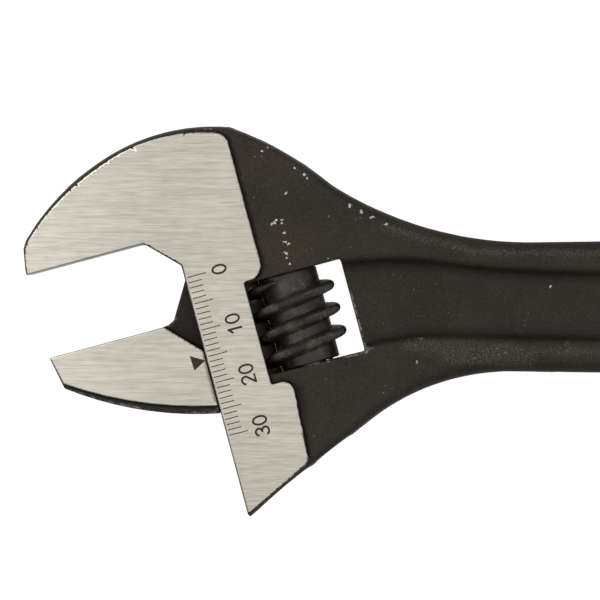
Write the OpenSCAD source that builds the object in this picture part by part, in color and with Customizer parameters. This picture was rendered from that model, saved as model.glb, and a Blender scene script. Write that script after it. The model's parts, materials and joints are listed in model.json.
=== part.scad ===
// Adjustable wrench with a forged body, a sliding jaw, and a worm that drives it.
// Lengths are in millimetres. The wrench lies flat: +X runs along the handle to the
// hanging hole, +Z is up, and the origin is under the middle of the whole wrench.
//
// Shapes are drawn in two flat frames that share one origin in the jaw throat, with
// z = 0 at mid thickness. In the handle frame X runs along the handle. The head frame
// is turned by head_angle, so the sliding jaw opens along its -Y.

/* [General] */
// Overall length from the jaw tips to the handle end
overall_length = 255; // [230:1:300]
// Thickness over the ground faces of the head
head_thickness = 16; // [15:0.5:18]
// How far the black forging lies below the ground faces
forging_step = 0.7; // [0.3:0.1:1.2]
// Angle between the handle and the jaw faces
head_angle = 15; // [10:0.5:22.5]

/* [Jaws] */
// Gap between the jaw faces as drawn
jaw_opening = 15.85; // [1:0.05:30]
// Depth of the jaws from the scale edge to the tip
jaw_depth = 28.35; // [24:0.05:30]
// Leg of the 45 degree corner at the back of the jaw mouth
throat_leg = 5.7; // [4:0.1:7]
// Gap between the sliding jaw and the scale edge
jaw_side_gap = 0.3; // [0.2:0.05:0.5]

/* [Slide] */
// Radius of the round rail that carries the rack
rail_radius = 5.55; // [5:0.05:5.55]
// Distance from the scale edge to the rail axis
rail_offset = 7.3; // [7:0.1:7.6]
// Length of the rail
rail_length = 29.9; // [28:0.1:31]
// Distance from the sliding jaw's face up to the rail's top end
rail_lead = 7.85; // [7:0.05:8.2]
// Gap all round between the rail and its bore
rail_gap = 0.25; // [0.2:0.05:0.4]
// Thickness of the web that joins the sliding jaw to its rail
web_thickness = 6; // [5:0.5:7]
// How far the rail's blind bore runs past the fixed jaw's face
bore_depth = 9.2; // [8.5:0.1:11]

/* [Worm] */
// Distance from the scale edge to the worm's axis
worm_offset = 18.4; // [18.2:0.1:18.8]
// Radius over the worm's thread
worm_radius = 8; // [7.6:0.1:8.2]
// Radius of the worm between its threads
worm_core_radius = 5.5; // [5.2:0.1:5.5]
// Jaw travel for one turn of the worm
worm_pitch = 4.35; // [4:0.05:4.6]
// Distance from the fixed jaw's face to the worm's upper end
worm_top = 12.1; // [12.1:0.1:12.5]
// Length of the worm
worm_length = 17.2; // [16:0.1:17.2]
// Distance from the fixed jaw's face to where the thread is marked out
thread_mark = 16.1; // [15.5:0.1:16.5]

/* [Worm window] */
// Distance from the scale edge to the window's near side
window_near = 10.4; // [10:0.1:10.8]
// Distance from the scale edge to the window's far side
window_far = 28.65; // [27:0.05:30]
// Distance from the fixed jaw's face to the window's upper side
window_top = 12; // [11.5:0.1:12]
// Distance from the fixed jaw's face to the window's lower side
window_bottom = 29.6; // [29.4:0.1:30.5]

/* [Worm pin and spring] */
// Radius of the pin the worm turns on
pin_radius = 2.9; // [2.5:0.1:3]
// Radius of the pin's screwed end
pin_head_radius = 3.5; // [3.2:0.1:3.6]
// Length of the pin's screwed end
pin_head_length = 7.4; // [6:0.1:9]
// Radial gap between the worm and its pin
pin_gap = 0.05; // [0.02:0.01:0.1]
// Radius of the worm spring's wire
wire_radius = 0.35; // [0.3:0.01:0.36]
// Number of coils in the worm spring
spring_coils = 6; // [4:1:6]

/* [Handle] */
// Width of the handle at its narrowest
neck_width = 24; // [22:0.1:25]
// Width of the handle at its rounded end
end_width = 28; // [25:0.5:31]
// Thickness of the handle's rims
rim_thickness = 9; // [8:0.5:12]
// Thickness of the handle between its rims
floor_thickness = 4; // [3:0.5:6]
// Radius of the hanging hole
hang_hole_radius = 4.75; // [3.5:0.25:6]

/* [Scale] */
// Spacing of the scale's lines
scale_step = 1; // [1:1:2]
// Longest reading on the scale
scale_end = 30; // [25:1:31]

/* [Hidden] */
$fn = 96;
half_head = head_thickness / 2;
half_forging = half_head - forging_step;
half_rim = rim_thickness / 2;
half_floor = floor_thickness / 2;
half_near_floor = half_forging - 2.7; // under the recess where it meets the head
tip_x = -27.95; // the fixed jaw's nose in the handle frame
handle_end_x = tip_x + overall_length;
handle_y = -13.1; // the handle's centre line
end_radius = end_width / 2;
end_x = handle_end_x - end_radius; // centre of the rounded end and the hanging hole
upper_neck_x = 65; // where the neck is narrowest along its upper edge
lower_neck_x = 61.5; // where it is narrowest along its lower edge
highest_y = 20.37; // top of the fixed jaw in the handle frame
lowest_y = -52.19; // lower tip of the head in the handle frame
flat_until_x = 12; // the forging keeps its full thickness up to here
thin_from_x = 60; // and has the handle's thickness from here on
arc_step = 4; // degrees of turn for each side of a curved edge
tall = 80; // longer than any cut through the head
rail_start = jaw_opening - rail_lead; // from the fixed jaw's face down to the rail
groove_depth_x = worm_offset - worm_radius - 0.05; // bottom of the rack's grooves
rack_tip_x = worm_offset - worm_core_radius + 1.1; // just beyond the rack's tooth tips
lead_angle = atan(worm_pitch / (2 * PI * 7)); // tilt of the rack's grooves
groove_half = [0.85, 1.58]; // half a rack groove's width at its bottom and its mouth
spring_radius = 3.95; // from the worm's axis to the middle of the wire
spring_pocket_radius = 4.6;
spring_pocket_depth = 5.5;
pin_bottom = 43.4; // from the fixed jaw's face down to the pin's lower end
pin_length = 38.2; // without its pointed tip
pin_tip = 0.7;
pin_slot = [1, 1.2]; // width and depth of the screwdriver slot
fit = 0.03; // radial gap between the pin and its bores
countersink = 0.8; // depth around each mouth of the hanging hole
scale_zero = 8; // from the fixed jaw's face to the scale's first line
scale_start = 0.5; // from the scale edge to where the lines begin
line_width = 0.12;
line_depth = 0.15;
short_line = 2.5;
long_line = 3.5;

// ---- curves ----

// A point turned about the origin.
function turned(p, a) = [p[0] * cos(a) - p[1] * sin(a), p[0] * sin(a) + p[1] * cos(a)];

// An outline corner drawn in the head frame, as seen from the handle frame.
function from_head(p) = concat(turned(p, head_angle), [p[2]]);

// Points along an arc from a to b. bulge is the arc's height over its chord, positive
// when it swells out of an outline that runs anticlockwise.
function arc_points(a, b, bulge) =
    let (
        chord = [b[0] - a[0], b[1] - a[1]],
        width = norm(chord),
        side = bulge > 0 ? 1 : -1,
        height = max(abs(bulge), 0.0001),
        radius = (width * width / 4 + height * height) / (2 * height),
        outward = [chord[1], -chord[0]] / width,
        centre = [a[0] + b[0], a[1] + b[1]] / 2 + outward * side * (height - radius),
        start = atan2(a[1] - centre[1], a[0] - centre[0]),
        sweep = side * 2 * atan2(width / 2, radius - height),
        count = max(1, round(abs(sweep) / arc_step))
    )
    [for (i = [0 : count - 1]) centre + radius * turned([cos(start), sin(start)], sweep * i / count)];

// A closed outline from corners [x, y, bulge of the edge to the next corner].
function outline(corners) =
    let (count = len(corners))
    [for (i = [0 : count - 1])
        each arc_points(corners[i], corners[(i + 1) % count], corners[i][2])];

// Rises smoothly from 0 to 1 as x goes from a to b.
function smooth_step(x, a, b) =
    let (t = min(1, max(0, (x - a) / (b - a))))
    t * t * (3 - 2 * t);

// Half the forging's thickness, and half the thickness left by the handle's recess.
function forging_z(x) = half_forging + (half_rim - half_forging) * smooth_step(x, flat_until_x, thin_from_x);
function recess_z(x) = half_near_floor + (half_floor - half_near_floor) * smooth_step(x, flat_until_x, thin_from_x);

// ---- frames ----

// Moves handle-frame shapes into the wrench's own frame.
module placed() {
    translate([-(tip_x + handle_end_x) / 2, -(highest_y + lowest_y) / 2, half_head])
        children();
}

// Turns head-frame shapes into the handle frame.
module in_head() {
    rotate([0, 0, head_angle])
        children();
}

// Stands a shape drawn along +Z on the worm's axis, with +Z along the head frame's +Y.
module on_worm_axis() {
    translate([worm_offset, 0, 0])
        rotate([-90, 0, 0])
            children();
}

// A plate of half thickness h with an outline through these corners.
module plate(corners, h) {
    translate([0, 0, -h])
        linear_extrude(height = 2 * h)
            polygon(outline(corners));
}

// ---- body ----

// The outer edge of the body, anticlockwise from the lower tip of the head. It runs a
// little into the jaw mouth, which is cut out afterwards.
forging_edge = [
    from_head([0.5, -53.95, -0.3]),
    [35.6, -34.75, -2.35],
    [lower_neck_x, handle_y - neck_width / 2, 0],
    [end_x, handle_y - end_radius, end_radius * (1 - cos(45))],
    [handle_end_x, handle_y, end_radius * (1 - cos(45))],
    [end_x, handle_y + end_radius, 0],
    [upper_neck_x, handle_y + neck_width / 2, -2.55],
    [29.45, 9.35, 0.99],
    from_head([15.2, 16.9, 2.16]),
    from_head([18.65 - jaw_depth, 16.93, 1.05]),
    from_head([2.25 - jaw_depth, 7, 0.15]),
    from_head([0.7 - jaw_depth, 4.8, 0.1]),
    from_head([-jaw_depth, 0, 0]),
    from_head([-jaw_depth, -1, 0]),
    from_head([-throat_leg, -1, 0]),
    from_head([-1, -throat_leg, 0]),
    from_head([-1, -54.2, 0])
];

// The bright ground face in the head frame, a little inside the forging's edge.
ground_face = [
    [-2, -54, 0],
    [12.2, -47.2, 0.3],
    [13.4, -45.2, 0],
    [14.1, -33.7, 0.9],
    [11.9, -31.1, 0],
    [window_near, -31.1, 0],
    [window_near, -11.7, 0],
    [11.4, -11.6, 0.75],
    [14.2, -9, 0],
    [14.2, 13.2, 0.6],
    [12.4, 16.2, 2.03],
    [18.7 - jaw_depth, 15.84, 0.93],
    [2.95 - jaw_depth, 6.6, 0.12],
    [1.35 - jaw_depth, 4.5, 0.1],
    [0.65 - jaw_depth, 0, 0],
    [0.65 - jaw_depth, -2, 0],
    [-throat_leg, -2, 0],
    [-2, -throat_leg, 0]
];

// Everything between the fixed jaw's face, the throat and the scale edge.
jaw_mouth = [
    [-tall, 0, 0],
    [-tall, -tall, 0],
    [0, -tall, 0],
    [0, -throat_leg, 0],
    [-throat_leg, 0, 0]
];

// The sunk panel along the handle, which starts inside the worm window.
recess_edge = [
    from_head([window_far - 2, -29.3, 0]),
    [38, -20, -0.12],
    [46, -18.8, 0],
    [78, -19.5, 0],
    [end_x - 18, handle_y - 8.3, 4.5],
    [end_x - 18, handle_y + 8.3, 0],
    [78, -6.55, -0.6],
    [46, -4.3, 0.5],
    from_head([window_far - 2, -12.3, 0])
];

// Clearance for the sliding jaw's web, open downwards, in the head frame.
web_slot = [
    [-throat_leg - 0.9, -tall, 0],
    [rail_offset, -tall, 0],
    [rail_offset, 8.6, 0],
    [-0.1, 8.6, 0],
    [-4.3, 1.3, 0],
    [-throat_leg - 0.9, 0.1, 0]
];

// The block between the curves z = +h(x) and -h(x), where thin picks the curve.
module thickness_profile(thin) {
    xs = concat([-60], [for (i = [0 : 14]) flat_until_x + (thin_from_x - flat_until_x) * i / 14], [260]);
    heights = [for (x = xs) thin ? recess_z(x) : forging_z(x)];
    last = len(xs) - 1;
    upper = [for (i = [0 : last]) [xs[last - i], heights[last - i]]];
    lower = [for (i = [0 : last]) [xs[i], -heights[i]]];
    translate([0, 100, 0])
        rotate([90, 0, 0])
            linear_extrude(height = 200)
                polygon(concat(lower, upper));
}

module forging() {
    difference() {
        intersection() {
            plate(forging_edge, half_head);
            thickness_profile(false);
        }
        difference() {
            plate(recess_edge, half_head);
            thickness_profile(true);
        }
    }
}

module rail_bore() {
    translate([rail_offset, bore_depth, 0])
        rotate([90, 0, 0])
            cylinder(r = rail_radius + rail_gap, h = tall);
}

module worm_window() {
    translate([window_near, -window_bottom, -half_head - 1])
        cube([window_far - window_near, window_bottom - window_top, head_thickness + 2]);
}

// The pin's bore, blind at the top, and the wider hole for its screwed end.
module pin_bores() {
    on_worm_axis() {
        translate([0, 0, -pin_bottom])
            cylinder(r = pin_radius + fit, h = pin_length + pin_tip + 0.3);
        translate([0, 0, -tall])
            cylinder(r = pin_head_radius + fit, h = tall - pin_bottom + pin_head_length + 0.2);
    }
}

module hanging_hole() {
    translate([end_x, handle_y, 0]) {
        cylinder(r = hang_hole_radius, h = head_thickness, center = true);
        for (side = [-1, 1])
            scale([1, 1, side])
                translate([0, 0, half_rim - countersink])
                    cylinder(r1 = hang_hole_radius, r2 = hang_hole_radius + 1, h = 1);
    }
}

// Fine lines cut into the upper ground face. Every fifth one is longer.
module scale_lines() {
    for (reading = [0 : scale_step : scale_end])
        translate([scale_start, -scale_zero - reading - line_width / 2, half_head - line_depth])
            cube([reading % 5 == 0 ? long_line : short_line, line_width, 1]);
}

module body() {
    color([0.16, 0.14, 0.12])
        placed()
            difference() {
                union() {
                    forging();
                    in_head()
                        plate(ground_face, half_head);
                }
                in_head() {
                    plate(jaw_mouth, head_thickness);
                    rail_bore();
                    plate(web_slot, web_thickness / 2 + rail_gap);
                    worm_window();
                    pin_bores();
                    scale_lines();
                }
                hanging_hole();
            }
}

// ---- sliding jaw ----

jaw_edge = [
    [0.55 - jaw_depth, 0, 0],
    [1.6 - jaw_depth, -6.2, 1.65],
    [-jaw_side_gap, -18.05, 0],
    [-jaw_side_gap, -throat_leg - 0.3, 0],
    [-throat_leg - 0.3, 0, 0]
];

jaw_ground_face = [
    [0.65 - jaw_depth, 0, 0],
    [1.85 - jaw_depth, -5.2, 1.4],
    [-jaw_side_gap, -16.4, 0],
    [-jaw_side_gap, -throat_leg - 0.3, 0],
    [-throat_leg - 0.3, 0, 0]
];

// The web between the jaw's cheeks and its rail. It rises past the jaw's face.
jaw_web = [
    [-9, -14.5, 0.2],
    [-jaw_side_gap - 0.6, -17.5, 0],
    [rail_offset, -17.5, 0],
    [rail_offset, 7.55, 0],
    [0, 7.55, 0],
    [-4, 0.85, -0.1],
    [-throat_leg - 0.3, 0, 0],
    [-9, -0.3, 0]
];

// Straight grooves across the rail, tilted to follow the worm's thread.
module rack_grooves() {
    first = -thread_mark + 1.5 * worm_pitch;
    for (i = [0 : 6])
        translate([0, first - i * worm_pitch, 0])
            rotate([-lead_angle, 0, 0])
                linear_extrude(height = 14, center = true)
                    polygon([
                        [groove_depth_x, -groove_half[0]],
                        [rack_tip_x, -groove_half[1]],
                        [rack_tip_x, groove_half[1]],
                        [groove_depth_x, groove_half[0]]
                    ]);
}

module moving_jaw() {
    color([0.62, 0.6, 0.56])
        placed()
            in_head()
                difference() {
                    union() {
                        translate([0, -jaw_opening, 0]) {
                            plate(jaw_edge, half_forging);
                            plate(jaw_ground_face, half_head);
                            plate(jaw_web, web_thickness / 2);
                        }
                        translate([rail_offset, -rail_start, 0])
                            rotate([90, 0, 0])
                                cylinder(r = rail_radius, h = rail_length);
                    }
                    rack_grooves();
                }
}

// ---- worm ----

// Half of the thread's section: [radius, distance from its middle].
thread_side = [[5, 1.15], [6.6, 0.98], [7.5, 0.8], [7.85, 0.5], [worm_radius, 0.12]];
thread_turns = [-2.74, 0.735]; // where the thread starts and ends, counted from its mark
thread_steps = 150;

// The thread grows from nothing and fades out again over a fifth of a turn.
function thread_size(turn) =
    0.08 + 0.92 * smooth_step(turn, thread_turns[0], thread_turns[0] + 0.2)
        * (1 - smooth_step(turn, thread_turns[1] - 0.2, thread_turns[1]));

function thread_ring(turn) =
    let (
        size = thread_size(turn),
        half = [for (p = thread_side) [5 + (p[0] - 5) * size, p[1] * size]],
        count = len(half),
        section = concat(
            [for (p = half) p],
            [for (i = [0 : count - 1]) [half[count - 1 - i][0], -half[count - 1 - i][1]]]
        )
    )
    [for (p = section)
        [p[0] * cos(360 * turn), p[0] * sin(360 * turn), p[1] - thread_mark + turn * worm_pitch]];

module worm_thread() {
    sides = 2 * len(thread_side);
    turns = [for (i = [0 : thread_steps])
        thread_turns[0] + (thread_turns[1] - thread_turns[0]) * i / thread_steps];
    points = [for (t = turns) each thread_ring(t)];
    skin = [for (i = [0 : thread_steps - 1], j = [0 : sides - 1])
        let (k = (j + 1) % sides)
        each [
            [i * sides + j, (i + 1) * sides + k, i * sides + k],
            [i * sides + j, (i + 1) * sides + j, (i + 1) * sides + k]
        ]];
    first_cap = [for (j = [0 : sides - 1]) j];
    last_cap = [for (j = [0 : sides - 1]) thread_steps * sides + sides - 1 - j];
    polyhedron(points = points, faces = concat(skin, [first_cap, last_cap]));
}

module worm() {
    color([0.13, 0.12, 0.11])
        placed()
            in_head()
                on_worm_axis()
                    difference() {
                        union() {
                            worm_thread();
                            translate([0, 0, -worm_top - worm_length])
                                cylinder(r = worm_core_radius, h = worm_length);
                        }
                        translate([0, 0, -worm_top - worm_length - 1])
                            cylinder(r = pin_radius + pin_gap, h = worm_length + 2);
                        translate([0, 0, -worm_top - worm_length - 1])
                            cylinder(r = spring_pocket_radius, h = spring_pocket_depth + 1);
                    }
}

// ---- worm pin ----

module worm_pin() {
    color([0.55, 0.54, 0.52])
        placed()
            in_head()
                on_worm_axis()
                    translate([0, 0, -pin_bottom])
                        difference() {
                            union() {
                                cylinder(r = pin_head_radius, h = pin_head_length);
                                cylinder(r = pin_radius, h = pin_length);
                                translate([0, 0, pin_length])
                                    cylinder(r1 = pin_radius, r2 = pin_radius - 0.6, h = pin_tip);
                            }
                            translate([-pin_head_radius - 1, -pin_slot[0] / 2, -1])
                                cube([2 * pin_head_radius + 2, pin_slot[0], pin_slot[1] + 1]);
                        }
}

// ---- worm spring ----

spring_pitch = 0.8;
spring_end_gap = 0.04; // between the lowest coil and the window's lower side
spring_sides = 8;
spring_steps_per_coil = 24;

module worm_spring() {
    steps = spring_coils * spring_steps_per_coil;
    start = -window_bottom + wire_radius + spring_end_gap;
    points = [for (i = [0 : steps], j = [0 : spring_sides - 1])
        let (
            a = 360 * i / spring_steps_per_coil,
            b = 360 * j / spring_sides,
            r = spring_radius + wire_radius * cos(b)
        )
        [r * cos(a), r * sin(a), start + spring_pitch * i / spring_steps_per_coil + wire_radius * sin(b)]];
    skin = [for (i = [0 : steps - 1], j = [0 : spring_sides - 1])
        let (k = (j + 1) % spring_sides)
        each [
            [i * spring_sides + j, i * spring_sides + k, (i + 1) * spring_sides + k],
            [i * spring_sides + j, (i + 1) * spring_sides + k, (i + 1) * spring_sides + j]
        ]];
    first_cap = [for (j = [0 : spring_sides - 1]) spring_sides - 1 - j];
    last_cap = [for (j = [0 : spring_sides - 1]) steps * spring_sides + j];
    color([0.5, 0.5, 0.5])
        placed()
            in_head()
                on_worm_axis()
                    polyhedron(points = points, faces = concat(skin, [first_cap, last_cap]));
}

body();
moving_jaw();
worm();
worm_pin();
worm_spring();
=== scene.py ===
import json
import math

import bmesh
import bpy
import numpy as np
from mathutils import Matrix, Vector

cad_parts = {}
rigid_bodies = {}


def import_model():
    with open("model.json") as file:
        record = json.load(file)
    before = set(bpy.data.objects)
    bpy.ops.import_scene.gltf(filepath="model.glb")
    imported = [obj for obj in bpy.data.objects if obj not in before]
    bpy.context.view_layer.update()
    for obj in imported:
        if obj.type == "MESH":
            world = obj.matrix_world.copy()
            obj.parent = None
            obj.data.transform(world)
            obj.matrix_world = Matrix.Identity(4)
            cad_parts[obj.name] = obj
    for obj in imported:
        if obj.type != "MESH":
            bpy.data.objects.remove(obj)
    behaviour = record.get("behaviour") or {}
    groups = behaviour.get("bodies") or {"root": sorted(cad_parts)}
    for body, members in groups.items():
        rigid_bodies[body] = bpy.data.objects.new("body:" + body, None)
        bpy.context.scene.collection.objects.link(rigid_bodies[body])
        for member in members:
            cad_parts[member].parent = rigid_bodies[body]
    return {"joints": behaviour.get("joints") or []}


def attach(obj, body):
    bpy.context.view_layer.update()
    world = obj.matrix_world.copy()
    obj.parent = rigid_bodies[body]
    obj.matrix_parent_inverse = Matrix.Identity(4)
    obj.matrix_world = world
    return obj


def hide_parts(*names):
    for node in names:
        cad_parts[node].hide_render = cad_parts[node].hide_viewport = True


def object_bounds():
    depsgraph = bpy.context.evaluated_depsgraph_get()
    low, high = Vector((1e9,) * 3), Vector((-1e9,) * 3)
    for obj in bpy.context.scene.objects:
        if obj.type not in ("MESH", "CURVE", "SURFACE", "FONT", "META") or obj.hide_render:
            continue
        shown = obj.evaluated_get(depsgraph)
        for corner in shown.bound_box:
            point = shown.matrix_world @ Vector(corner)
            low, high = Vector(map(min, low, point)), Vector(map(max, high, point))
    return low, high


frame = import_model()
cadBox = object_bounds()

import openvdb
from mathutils import Matrix, Vector

# Shapes are worked out in millimetres in the head's own axes: x runs from the scale edge
# towards the handle, y up to the fixed jaw, and z is 0 at mid thickness. The handle's
# axes share that origin and are turned by headAngle.
joints = {joint["name"]: joint for joint in frame["joints"]}
jawOpens = Vector(joints["jaw_slide"]["axis"])
headY = -jawOpens
headX = Vector((headY.y, -headY.x, 0))
headAngle = math.atan2(headX.y, headX.x)
wormPlace = {"x": 18.4, "y": -20.55}
headOrigin = Vector(joints["worm_spin"]["pos_m"]) - 0.001 * (wormPlace["x"] * headX + wormPlace["y"] * headY)
alongHandle = Vector((1, 0, 0))
acrossHandle = Vector((0, 1, 0))
headToFrame = Matrix.Translation(headOrigin) @ Matrix.Rotation(headAngle, 4, "Z") @ Matrix.Scale(0.001, 4)


def arcPoints(a, b, bulge, step=3.0):
    # from a up to b; bulge is the arc's height, positive out of an anticlockwise outline
    a, b = np.array(a, float), np.array(b, float)
    chord = b - a
    width = np.hypot(*chord)
    if abs(bulge) < 1e-4:
        return [a]
    side = 1 if bulge > 0 else -1
    height = abs(bulge)
    radius = (width * width / 4 + height * height) / (2 * height)
    outward = np.array([chord[1], -chord[0]]) / width
    centre = (a + b) / 2 + outward * side * (height - radius)
    start = math.atan2(a[1] - centre[1], a[0] - centre[0])
    sweep = side * 2 * math.atan2(width / 2, radius - height)
    count = max(1, round(abs(math.degrees(sweep)) / step))
    angles = start + sweep * np.arange(count) / count
    return [centre + radius * np.array([math.cos(t), math.sin(t)]) for t in angles]


def outline(corners):
    points = []
    for i, (x, y, bulge) in enumerate(corners):
        nextX, nextY, _ = corners[(i + 1) % len(corners)]
        points += arcPoints((x, y), (nextX, nextY), bulge)
    return np.array(points)


def toHandle(x, y):
    c, s = math.cos(headAngle), math.sin(headAngle)
    return x * c - y * s, x * s + y * c


def fromHead(x, y, bulge=0):
    return (*toHandle(x, y), bulge)


def outlineDistance(x, y, points):
    # signed distance to a closed outline, negative inside
    nearest = np.full(np.broadcast(x, y).shape, 1e9, np.float32)
    inside = np.zeros(nearest.shape, bool)
    for a, b in zip(points, np.roll(points, -1, axis=0)):
        ex, ey = b - a
        along = np.clip(((x - a[0]) * ex + (y - a[1]) * ey) / (ex * ex + ey * ey), 0, 1)
        dx, dy = x - a[0] - along * ex, y - a[1] - along * ey
        nearest = np.minimum(nearest, dx * dx + dy * dy)
        if ey:
            crosses = (a[1] > y) != (b[1] > y)
            inside ^= crosses & (x < a[0] + (y - a[1]) * ex / ey)
    return np.where(inside, -1, 1) * np.sqrt(nearest)


def both(a, b, radius):
    # what two solids share, with the edge between them rounded
    u, v = np.maximum(radius + a, 0), np.maximum(radius + b, 0)
    return np.minimum(-radius, np.maximum(a, b)) + np.sqrt(u * u + v * v)


def either(a, b, radius):
    # two solids joined, with a fillet between them
    u, v = np.maximum(radius - a, 0), np.maximum(radius - b, 0)
    return np.maximum(radius, np.minimum(a, b)) - np.sqrt(u * u + v * v)


def without(a, b, radius):
    return both(a, -b, radius)


def groundPad(edge, height, top, foot):
    # a flat face standing proud of the forging, its sides leaning out a little as they go down
    lean = 0.25 * (np.maximum(height, foot) - top)
    pad = both(edge + lean, height - top, 0.06)
    return np.maximum(pad, foot - 3 - height)


def smoothStep(x, a, b):
    t = np.clip((x - a) / (b - a), 0, 1)
    return t * t * (3 - 2 * t)


def sampled(values, places):
    # the field between its grid points
    base = np.clip(np.floor(places).astype(int), 0, np.array(values.shape) - 2)
    part = (places - base).astype(np.float32)
    total = np.zeros(len(places), np.float32)
    for corner in np.ndindex(2, 2, 2):
        weight = np.prod(np.where(corner, part, 1 - part), axis=1)
        total += weight * values[tuple((base + corner).T)]
    return total


def toPiece(name, mesh, body, node):
    piece = bpy.data.objects.new(name, mesh)
    bpy.context.scene.collection.objects.link(piece)
    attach(piece, body)
    if node:
        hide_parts(node)
    print(f"{name}: {len(mesh.vertices)} points, {len(mesh.polygons)} faces", flush=True)
    return piece


def meshFromField(name, field, axes, coarse=0.0):
    # the surface of a field over a grid in the head's axes, shaded by the field's own slope;
    # the wear attribute is high along sharp outer edges, and the attribute for painted shade is high along
    # inner corners
    axes = [np.asarray(a, np.float32) for a in axes]
    x, y, z = np.meshgrid(*axes, indexing="ij", sparse=True)
    values = np.ascontiguousarray(field(x, y, z), dtype=np.float32)
    band = 1.5
    grid = openvdb.FloatGrid(band)
    grid.copyFromArray(np.clip(values, -band, band))
    points, triangles, quads = grid.convertToPolygons(adaptivity=coarse)
    faces = quads.tolist() + triangles.tolist()
    places = np.stack([np.interp(points[:, i], np.arange(len(axes[i])), axes[i]) for i in range(3)], axis=1)
    mesh = bpy.data.meshes.new(name)
    mesh.from_pydata(places.tolist(), [], faces)
    cell = points.astype(np.float64)
    steps = [np.gradient(a) for a in axes]
    slope, bend = [], -6 * sampled(values, cell)
    for i in range(3):
        spacing = np.interp(cell[:, i], np.arange(len(axes[i])), steps[i])
        for reach, keep in ((0.16, True), (0.6, False)):
            ahead, behind = cell.copy(), cell.copy()
            ahead[:, i] += reach / spacing
            behind[:, i] -= reach / spacing
            front, back = sampled(values, ahead), sampled(values, behind)
            if keep:
                slope.append(front - back)
            else:
                bend += front + back
    normals = np.stack(slope, axis=1)
    normals /= np.linalg.norm(normals, axis=1, keepdims=True) + 1e-9
    wear = mesh.attributes.new("wear", "FLOAT", "POINT")
    wear.data.foreach_set("value", np.clip(bend / 0.6 - 0.12, 0, 1).astype(np.float32))
    creaseShade = mesh.attributes.new("creaseShade", "FLOAT", "POINT")
    creaseShade.data.foreach_set("value", np.clip(-bend / 0.35 - 0.15, 0, 1).astype(np.float32))
    turn = np.array(headToFrame.to_3x3()) * 1000
    mesh.transform(headToFrame)
    mesh.shade_smooth()
    mesh.normals_split_custom_set_from_vertices((normals @ turn.T).tolist())
    return mesh


def span(low, high, step):
    return np.arange(low - 2 * step, high + 3 * step, step)


bodySize = {
    "groundHeight": 7.98,     # half thickness over the ground faces
    "forgingHeight": 7.3,     # half thickness of the black forging at the head
    "rimHeight": 4.5,         # half thickness of the handle's rims
    "panelNear": 4.6,         # half thickness left by the panel near the worm window
    "panelFar": 2.0,          # and along the handle
    "thinsFrom": 12, "thinsTo": 60,
    "draft": 0.085,           # how fast the forged sides lean in
    "handleMiddle": -13.1, "neckWidth": 24.0, "endRadius": 14.0, "endX": 213.05,
    "hangHole": 4.75,
    "edgeBreak": 0.22,        # radius left on the machined edges
    "mouthBreak": 0.1,        # and around the jaw mouth
    "slotNear": -6.6, "slotHalf": 3.25,        # the sliding jaw's slot beside its rail
    "boreX": 7.3, "boreRadius": 5.8, "boreTop": 9.2,
    "windowNear": 10.4, "windowFar": 28.65, "windowTop": -12.0,
    "windowBottom": -29.33, "windowSlope": 0.02,
    "pinBore": 2.93, "pinBoreTop": -4.2, "pinBoreBottom": -44,
    "tapped": 3.53, "tappedTop": -35.8,
    "detail": 0.32,           # distance between points of the mesh at the head
    "handleDetail": 0.8,      # and along the handle
    "headReach": (-28.2, 34),    # the head's stretch of the mesh along x
    "handleReach": 219,          # and the handle's far limit
    "acrossReach": (-69, 19),    # the handle's end needs -82: this cuts its far lower edge off
    "heightReach": (-8, 8),
}


def bodyOutlines(s):
    half, end = s["neckWidth"] / 2, s["endRadius"]
    middle, endX = s["handleMiddle"], s["endX"]
    endBulge = end * (1 - math.cos(math.radians(45)))
    edge = outline([
        fromHead(0.5, -53.95, -0.3),
        (35.6, -34.75, -2.35),
        (61.5, middle - half, 0),
        (endX, middle - end, endBulge),
        (endX + end, middle, endBulge),
        (endX, middle + end, 0),
        (65, middle + half, -2.55),
        (29.45, 9.35, 0.99),
        fromHead(15.2, 16.9, 2.16),
        fromHead(-9.7, 16.93, 1.05),
        fromHead(-26.1, 7.0, 0.15),
        fromHead(-27.65, 4.8, 0.1),
        fromHead(-28.35, 0),
        fromHead(-28.35, -1),
        fromHead(-5.7, -1),
        fromHead(-1, -5.7),
        fromHead(-1, -54.2),
    ])
    panel = outline([
        fromHead(26.65, -29.3),
        (38, -20, -0.12),
        (46, -18.8, 0),
        (78, -19.5, 0),
        (endX - 18, middle - 8.3, 4.5),
        (endX - 18, middle + 8.3, 0),
        (78, -6.55, -0.6),
        (46, -4.3, 0.5),
        fromHead(26.65, -12.3),
    ])
    ground = outline([
        (0.05, -53.0, 0),
        (12.2, -47.2, 0.3),
        (13.4, -45.2, 0),
        (14.1, -33.7, 0.9),
        (11.9, -31.1, 0),
        (10.4, -31.1, 0),
        (10.4, -11.7, 0),
        (11.4, -11.6, 0.75),
        (14.2, -9, 0),
        (14.2, 13.2, 0.6),
        (12.4, 16.2, 2.03),
        (-9.65, 15.84, 0.93),
        (-25.4, 6.6, 0.12),
        (-27.0, 4.5, 0.1),
        (-27.85, 0.02, 0),
        (-5.6, 0.02, 0),
        (0.2, -5.6, 0),
        (0.05, -9, 0),
    ])
    return edge, panel, ground


def forgedWaves(x, y, z):
    # how far the forging's skin lies below its ideal surface
    slow = np.sin(0.55 * x + 0.8 * y + 1) * np.sin(0.33 * x - 0.6 * y + 0.4 * z)
    quick = np.sin(1.5 * x + 0.5 * y) * np.sin(1.2 * y - 0.3 * x + 2)
    return 0.06 + 0.035 * slow + 0.02 * quick


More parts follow.
